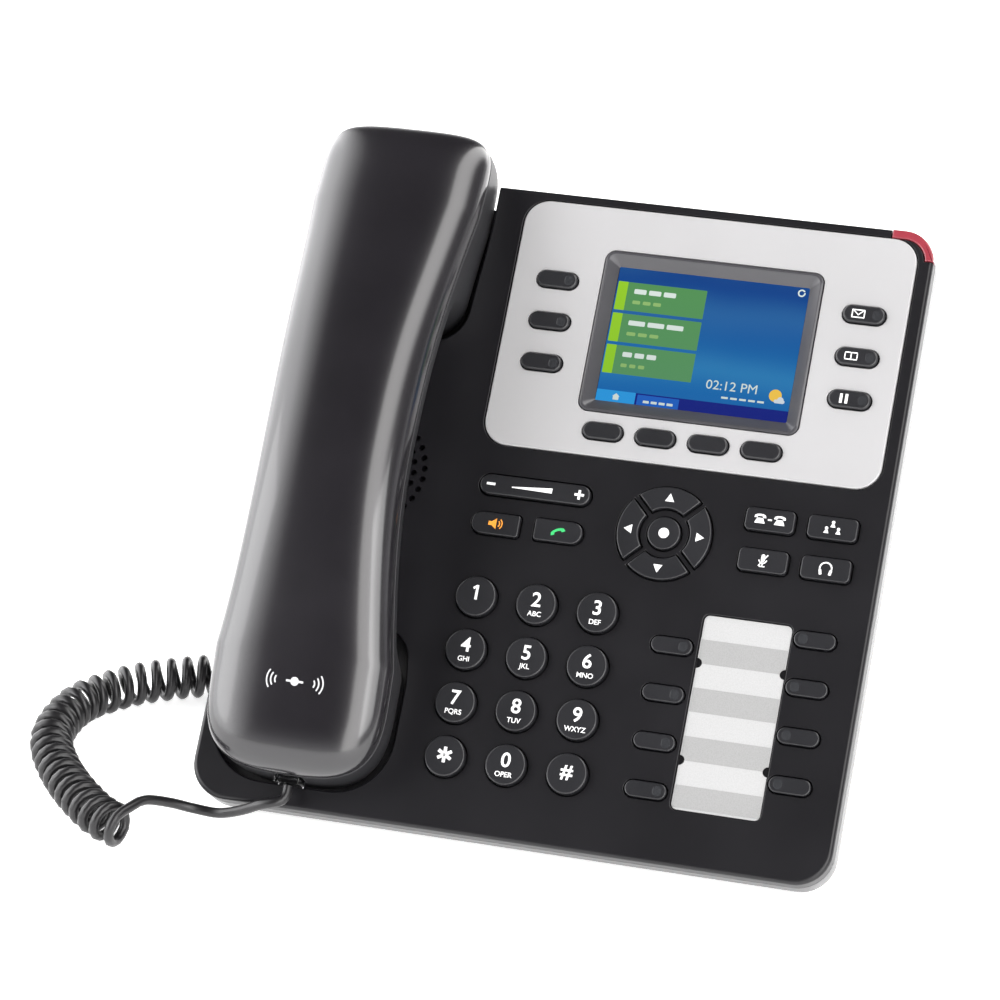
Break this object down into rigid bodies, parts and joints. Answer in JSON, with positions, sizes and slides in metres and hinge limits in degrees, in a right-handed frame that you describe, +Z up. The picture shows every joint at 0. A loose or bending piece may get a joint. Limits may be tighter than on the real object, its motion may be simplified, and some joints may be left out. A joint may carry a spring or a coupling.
{
  "type": "desk ip phone",
  "caption": "Desk phone with a leaning face of keys around a colour display, a handset resting in its cradle, a rear stand and a curly cord.",
  "frame": {"origin": "on the desk, under the middle of the phone without its cord", "axes": "+X to the phone's right, +Y away from the user, +Z up"},
  "size_m": [0.2496, 0.1739, 0.1712],
  "materials": {
    "black_casing": "fine satin texture",
    "silver_panel": "satin silver paint",
    "grey_bezel": "satin metallic grey",
    "display_glass": "lit colour display behind a clear window",
    "red_lens": "translucent pinkish red",
    "label_card": "striped label card under a clear cover",
    "handset_outer": "semi-gloss black",
    "handset_inner": "satin black",
    "circuit_board": "green solder mask",
    "foot_rubber": "matte black",
    "plug_plastic": "clear",
    "cord_jacket": "semi-gloss black jacket",
    "key_plastic": "satin black with light legends"
  },
  "bodies": {
    "base": {"cord_coil": "cord_jacket", "cord_tail_base": "cord_jacket", "cord_tail_handset": "cord_jacket", "display_frame": "grey_bezel", "display_module": "display_glass", "display_surround": "silver_panel", "front_foot": "foot_rubber", "front_housing": "black_casing", "label_card": "label_card", "main_board": "circuit_board", "message_light": "red_lens", "rear_housing": "black_casing", "stand": "black_casing", "stand_foot": "foot_rubber"},
    "handset": {"handset_outer_shell": "handset_outer", "handset_inner_shell": "handset_inner", "handset_plug": "plug_plastic"},
    "hook_switch": {"hook_switch": "key_plastic"},
    "volume_rocker": {"volume_rocker": "key_plastic"},
    "conference_key": {"conference_key": "key_plastic"},
    "contacts_key": {"contacts_key": "key_plastic"},
    "dial_key_0": {"dial_key_0": "key_plastic"},
    "dial_key_1": {"dial_key_1": "key_plastic"},
    "dial_key_2": {"dial_key_2": "key_plastic"},
    "dial_key_3": {"dial_key_3": "key_plastic"},
    "dial_key_4": {"dial_key_4": "key_plastic"},
    "dial_key_5": {"dial_key_5": "key_plastic"},
    "dial_key_6": {"dial_key_6": "key_plastic"},
    "dial_key_7": {"dial_key_7": "key_plastic"},
    "dial_key_8": {"dial_key_8": "key_plastic"},
    "dial_key_9": {"dial_key_9": "key_plastic"},
    "dial_key_hash": {"dial_key_hash": "key_plastic"},
    "dial_key_star": {"dial_key_star": "key_plastic"},
    "headset_key": {"headset_key": "key_plastic"},
    "hold_key": {"hold_key": "key_plastic"},
    "line_key_1": {"line_key_1": "key_plastic"},
    "line_key_2": {"line_key_2": "key_plastic"},
    "line_key_3": {"line_key_3": "key_plastic"},
    "memory_key_1": {"memory_key_1": "key_plastic"},
    "memory_key_2": {"memory_key_2": "key_plastic"},
    "memory_key_3": {"memory_key_3": "key_plastic"},
    "memory_key_4": {"memory_key_4": "key_plastic"},
    "memory_key_5": {"memory_key_5": "key_plastic"},
    "memory_key_6": {"memory_key_6": "key_plastic"},
    "memory_key_7": {"memory_key_7": "key_plastic"},
    "memory_key_8": {"memory_key_8": "key_plastic"},
    "message_key": {"message_key": "key_plastic"},
    "mute_key": {"mute_key": "key_plastic"},
    "nav_down": {"nav_down": "key_plastic"},
    "nav_left": {"nav_left": "key_plastic"},
    "nav_ok": {"nav_ok": "key_plastic"},
    "nav_right": {"nav_right": "key_plastic"},
    "nav_up": {"nav_up": "key_plastic"},
    "send_key": {"send_key": "key_plastic"},
    "soft_key_1": {"soft_key_1": "key_plastic"},
    "soft_key_2": {"soft_key_2": "key_plastic"},
    "soft_key_3": {"soft_key_3": "key_plastic"},
    "soft_key_4": {"soft_key_4": "key_plastic"},
    "speaker_key": {"speaker_key": "key_plastic"},
    "transfer_key": {"transfer_key": "key_plastic"}
  },
  "joints": [
    {"name": "handset_lift", "type": "slide", "parent": "base", "child": "handset", "axis": [0, -0.7355, 0.6775], "range_m": [0, 0.12]},
    {"name": "hook_rise", "type": "slide", "parent": "base", "child": "hook_switch", "axis": [0, -0.7355, 0.6775], "range_m": [0, 0.004]},
    {"name": "volume_tilt", "type": "hinge", "parent": "base", "child": "volume_rocker", "pos_m": [-0.0092, -0.00073, 0.0849], "axis": [0, 0.6775, 0.7355], "range_deg": [-3, 3], "stiffness_Nm_per_rad": 0.1},
    {"name": "conference_key_press", "type": "slide", "parent": "base", "child": "conference_key", "axis": [0, 0.7355, -0.6775], "range_m": [0, 0.0012], "stiffness_N_per_m": 500},
    {"name": "contacts_key_press", "type": "slide", "parent": "base", "child": "contacts_key", "axis": [0, 0.7355, -0.6775], "range_m": [0, 0.0012], "stiffness_N_per_m": 500},
    {"name": "dial_key_0_press", "type": "slide", "parent": "base", "child": "dial_key_0", "axis": [0, 0.7355, -0.6775], "range_m": [0, 0.0012], "stiffness_N_per_m": 500},
    {"name": "dial_key_1_press", "type": "slide", "parent": "base", "child": "dial_key_1", "axis": [0, 0.7355, -0.6775], "range_m": [0, 0.0012], "stiffness_N_per_m": 500},
    {"name": "dial_key_2_press", "type": "slide", "parent": "base", "child": "dial_key_2", "axis": [0, 0.7355, -0.6775], "range_m": [0, 0.0012], "stiffness_N_per_m": 500},
    {"name": "dial_key_3_press", "type": "slide", "parent": "base", "child": "dial_key_3", "axis": [0, 0.7355, -0.6775], "range_m": [0, 0.0012], "stiffness_N_per_m": 500},
    {"name": "dial_key_4_press", "type": "slide", "parent": "base", "child": "dial_key_4", "axis": [0, 0.7355, -0.6775], "range_m": [0, 0.0012], "stiffness_N_per_m": 500},
    {"name": "dial_key_5_press", "type": "slide", "parent": "base", "child": "dial_key_5", "axis": [0, 0.7355, -0.6775], "range_m": [0, 0.0012], "stiffness_N_per_m": 500},
    {"name": "dial_key_6_press", "type": "slide", "parent": "base", "child": "dial_key_6", "axis": [0, 0.7355, -0.6775], "range_m": [0, 0.0012], "stiffness_N_per_m": 500},
    {"name": "dial_key_7_press", "type": "slide", "parent": "base", "child": "dial_key_7", "axis": [0, 0.7355, -0.6775], "range_m": [0, 0.0012], "stiffness_N_per_m": 500},
    {"name": "dial_key_8_press", "type": "slide", "parent": "base", "child": "dial_key_8", "axis": [0, 0.7355, -0.6775], "range_m": [0, 0.0012], "stiffness_N_per_m": 500},
    {"name": "dial_key_9_press", "type": "slide", "parent": "base", "child": "dial_key_9", "axis": [0, 0.7355, -0.6775], "range_m": [0, 0.0012], "stiffness_N_per_m": 500},
    {"name": "dial_key_hash_press", "type": "slide", "parent": "base", "child": "dial_key_hash", "axis": [0, 0.7355, -0.6775], "range_m": [0, 0.0012], "stiffness_N_per_m": 500},
    {"name": "dial_key_star_press", "type": "slide", "parent": "base", "child": "dial_key_star", "axis": [0, 0.7355, -0.6775], "range_m": [0, 0.0012], "stiffness_N_per_m": 500},
    {"name": "headset_key_press", "type": "slide", "parent": "base", "child": "headset_key", "axis": [0, 0.7355, -0.6775], "range_m": [0, 0.0012], "stiffness_N_per_m": 500},
    {"name": "hold_key_press", "type": "slide", "parent": "base", "child": "hold_key", "axis": [0, 0.7355, -0.6775], "range_m": [0, 0.0012], "stiffness_N_per_m": 500},
    {"name": "line_key_1_press", "type": "slide", "parent": "base", "child": "line_key_1", "axis": [0, 0.7355, -0.6775], "range_m": [0, 0.0012], "stiffness_N_per_m": 500},
    {"name": "line_key_2_press", "type": "slide", "parent": "base", "child": "line_key_2", "axis": [0, 0.7355, -0.6775], "range_m": [0, 0.0012], "stiffness_N_per_m": 500},
    {"name": "line_key_3_press", "type": "slide", "parent": "base", "child": "line_key_3", "axis": [0, 0.7355, -0.6775], "range_m": [0, 0.0012], "stiffness_N_per_m": 500},
    {"name": "memory_key_1_press", "type": "slide", "parent": "base", "child": "memory_key_1", "axis": [0, 0.7355, -0.6775], "range_m": [0, 0.0012], "stiffness_N_per_m": 500},
    {"name": "memory_key_2_press", "type": "slide", "parent": "base", "child": "memory_key_2", "axis": [0, 0.7355, -0.6775], "range_m": [0, 0.0012], "stiffness_N_per_m": 500},
    {"name": "memory_key_3_press", "type": "slide", "parent": "base", "child": "memory_key_3", "axis": [0, 0.7355, -0.6775], "range_m": [0, 0.0012], "stiffness_N_per_m": 500},
    {"name": "memory_key_4_press", "type": "slide", "parent": "base", "child": "memory_key_4", "axis": [0, 0.7355, -0.6775], "range_m": [0, 0.0012], "stiffness_N_per_m": 500},
    {"name": "memory_key_5_press", "type": "slide", "parent": "base", "child": "memory_key_5", "axis": [0, 0.7355, -0.6775], "range_m": [0, 0.0012], "stiffness_N_per_m": 500},
    {"name": "memory_key_6_press", "type": "slide", "parent": "base", "child": "memory_key_6", "axis": [0, 0.7355, -0.6775], "range_m": [0, 0.0012], "stiffness_N_per_m": 500},
    {"name": "memory_key_7_press", "type": "slide", "parent": "base", "child": "memory_key_7", "axis": [0, 0.7355, -0.6775], "range_m": [0, 0.0012], "stiffness_N_per_m": 500},
    {"name": "memory_key_8_press", "type": "slide", "parent": "base", "child": "memory_key_8", "axis": [0, 0.7355, -0.6775], "range_m": [0, 0.0012], "stiffness_N_per_m": 500},
    {"name": "message_key_press", "type": "slide", "parent": "base", "child": "message_key", "axis": [0, 0.7355, -0.6775], "range_m": [0, 0.0012], "stiffness_N_per_m": 500},
    {"name": "mute_key_press", "type": "slide", "parent": "base", "child": "mute_key", "axis": [0, 0.7355, -0.6775], "range_m": [0, 0.0012], "stiffness_N_per_m": 500},
    {"name": "nav_down_press", "type": "slide", "parent": "base", "child": "nav_down", "axis": [0, 0.7355, -0.6775], "range_m": [0, 0.0012], "stiffness_N_per_m": 500},
    {"name": "nav_left_press", "type": "slide", "parent": "base", "child": "nav_left", "axis": [0, 0.7355, -0.6775], "range_m": [0, 0.0012], "stiffness_N_per_m": 500},
    {"name": "nav_ok_press", "type": "slide", "parent": "base", "child": "nav_ok", "axis": [0, 0.7355, -0.6775], "range_m": [0, 0.0012], "stiffness_N_per_m": 500},
    {"name": "nav_right_press", "type": "slide", "parent": "base", "child": "nav_right", "axis": [0, 0.7355, -0.6775], "range_m": [0, 0.0012], "stiffness_N_per_m": 500},
    {"name": "nav_up_press", "type": "slide", "parent": "base", "child": "nav_up", "axis": [0, 0.7355, -0.6775], "range_m": [0, 0.0012], "stiffness_N_per_m": 500},
    {"name": "send_key_press", "type": "slide", "parent": "base", "child": "send_key", "axis": [0, 0.7355, -0.6775], "range_m": [0, 0.0012], "stiffness_N_per_m": 500},
    {"name": "soft_key_1_press", "type": "slide", "parent": "base", "child": "soft_key_1", "axis": [0, 0.7355, -0.6775], "range_m": [0, 0.0012], "stiffness_N_per_m": 500},
    {"name": "soft_key_2_press", "type": "slide", "parent": "base", "child": "soft_key_2", "axis": [0, 0.7355, -0.6775], "range_m": [0, 0.0012], "stiffness_N_per_m": 500},
    {"name": "soft_key_3_press", "type": "slide", "parent": "base", "child": "soft_key_3", "axis": [0, 0.7355, -0.6775], "range_m": [0, 0.0012], "stiffness_N_per_m": 500},
    {"name": "soft_key_4_press", "type": "slide", "parent": "base", "child": "soft_key_4", "axis": [0, 0.7355, -0.6775], "range_m": [0, 0.0012], "stiffness_N_per_m": 500},
    {"name": "speaker_key_press", "type": "slide", "parent": "base", "child": "speaker_key", "axis": [0, 0.7355, -0.6775], "range_m": [0, 0.0012], "stiffness_N_per_m": 500},
    {"name": "transfer_key_press", "type": "slide", "parent": "base", "child": "transfer_key", "axis": [0, 0.7355, -0.6775], "range_m": [0, 0.0012], "stiffness_N_per_m": 500}
  ],
  "couplings": [
    {"joint": "hook_rise", "follows": "handset_lift", "ratio": 0.033333}
  ]
}
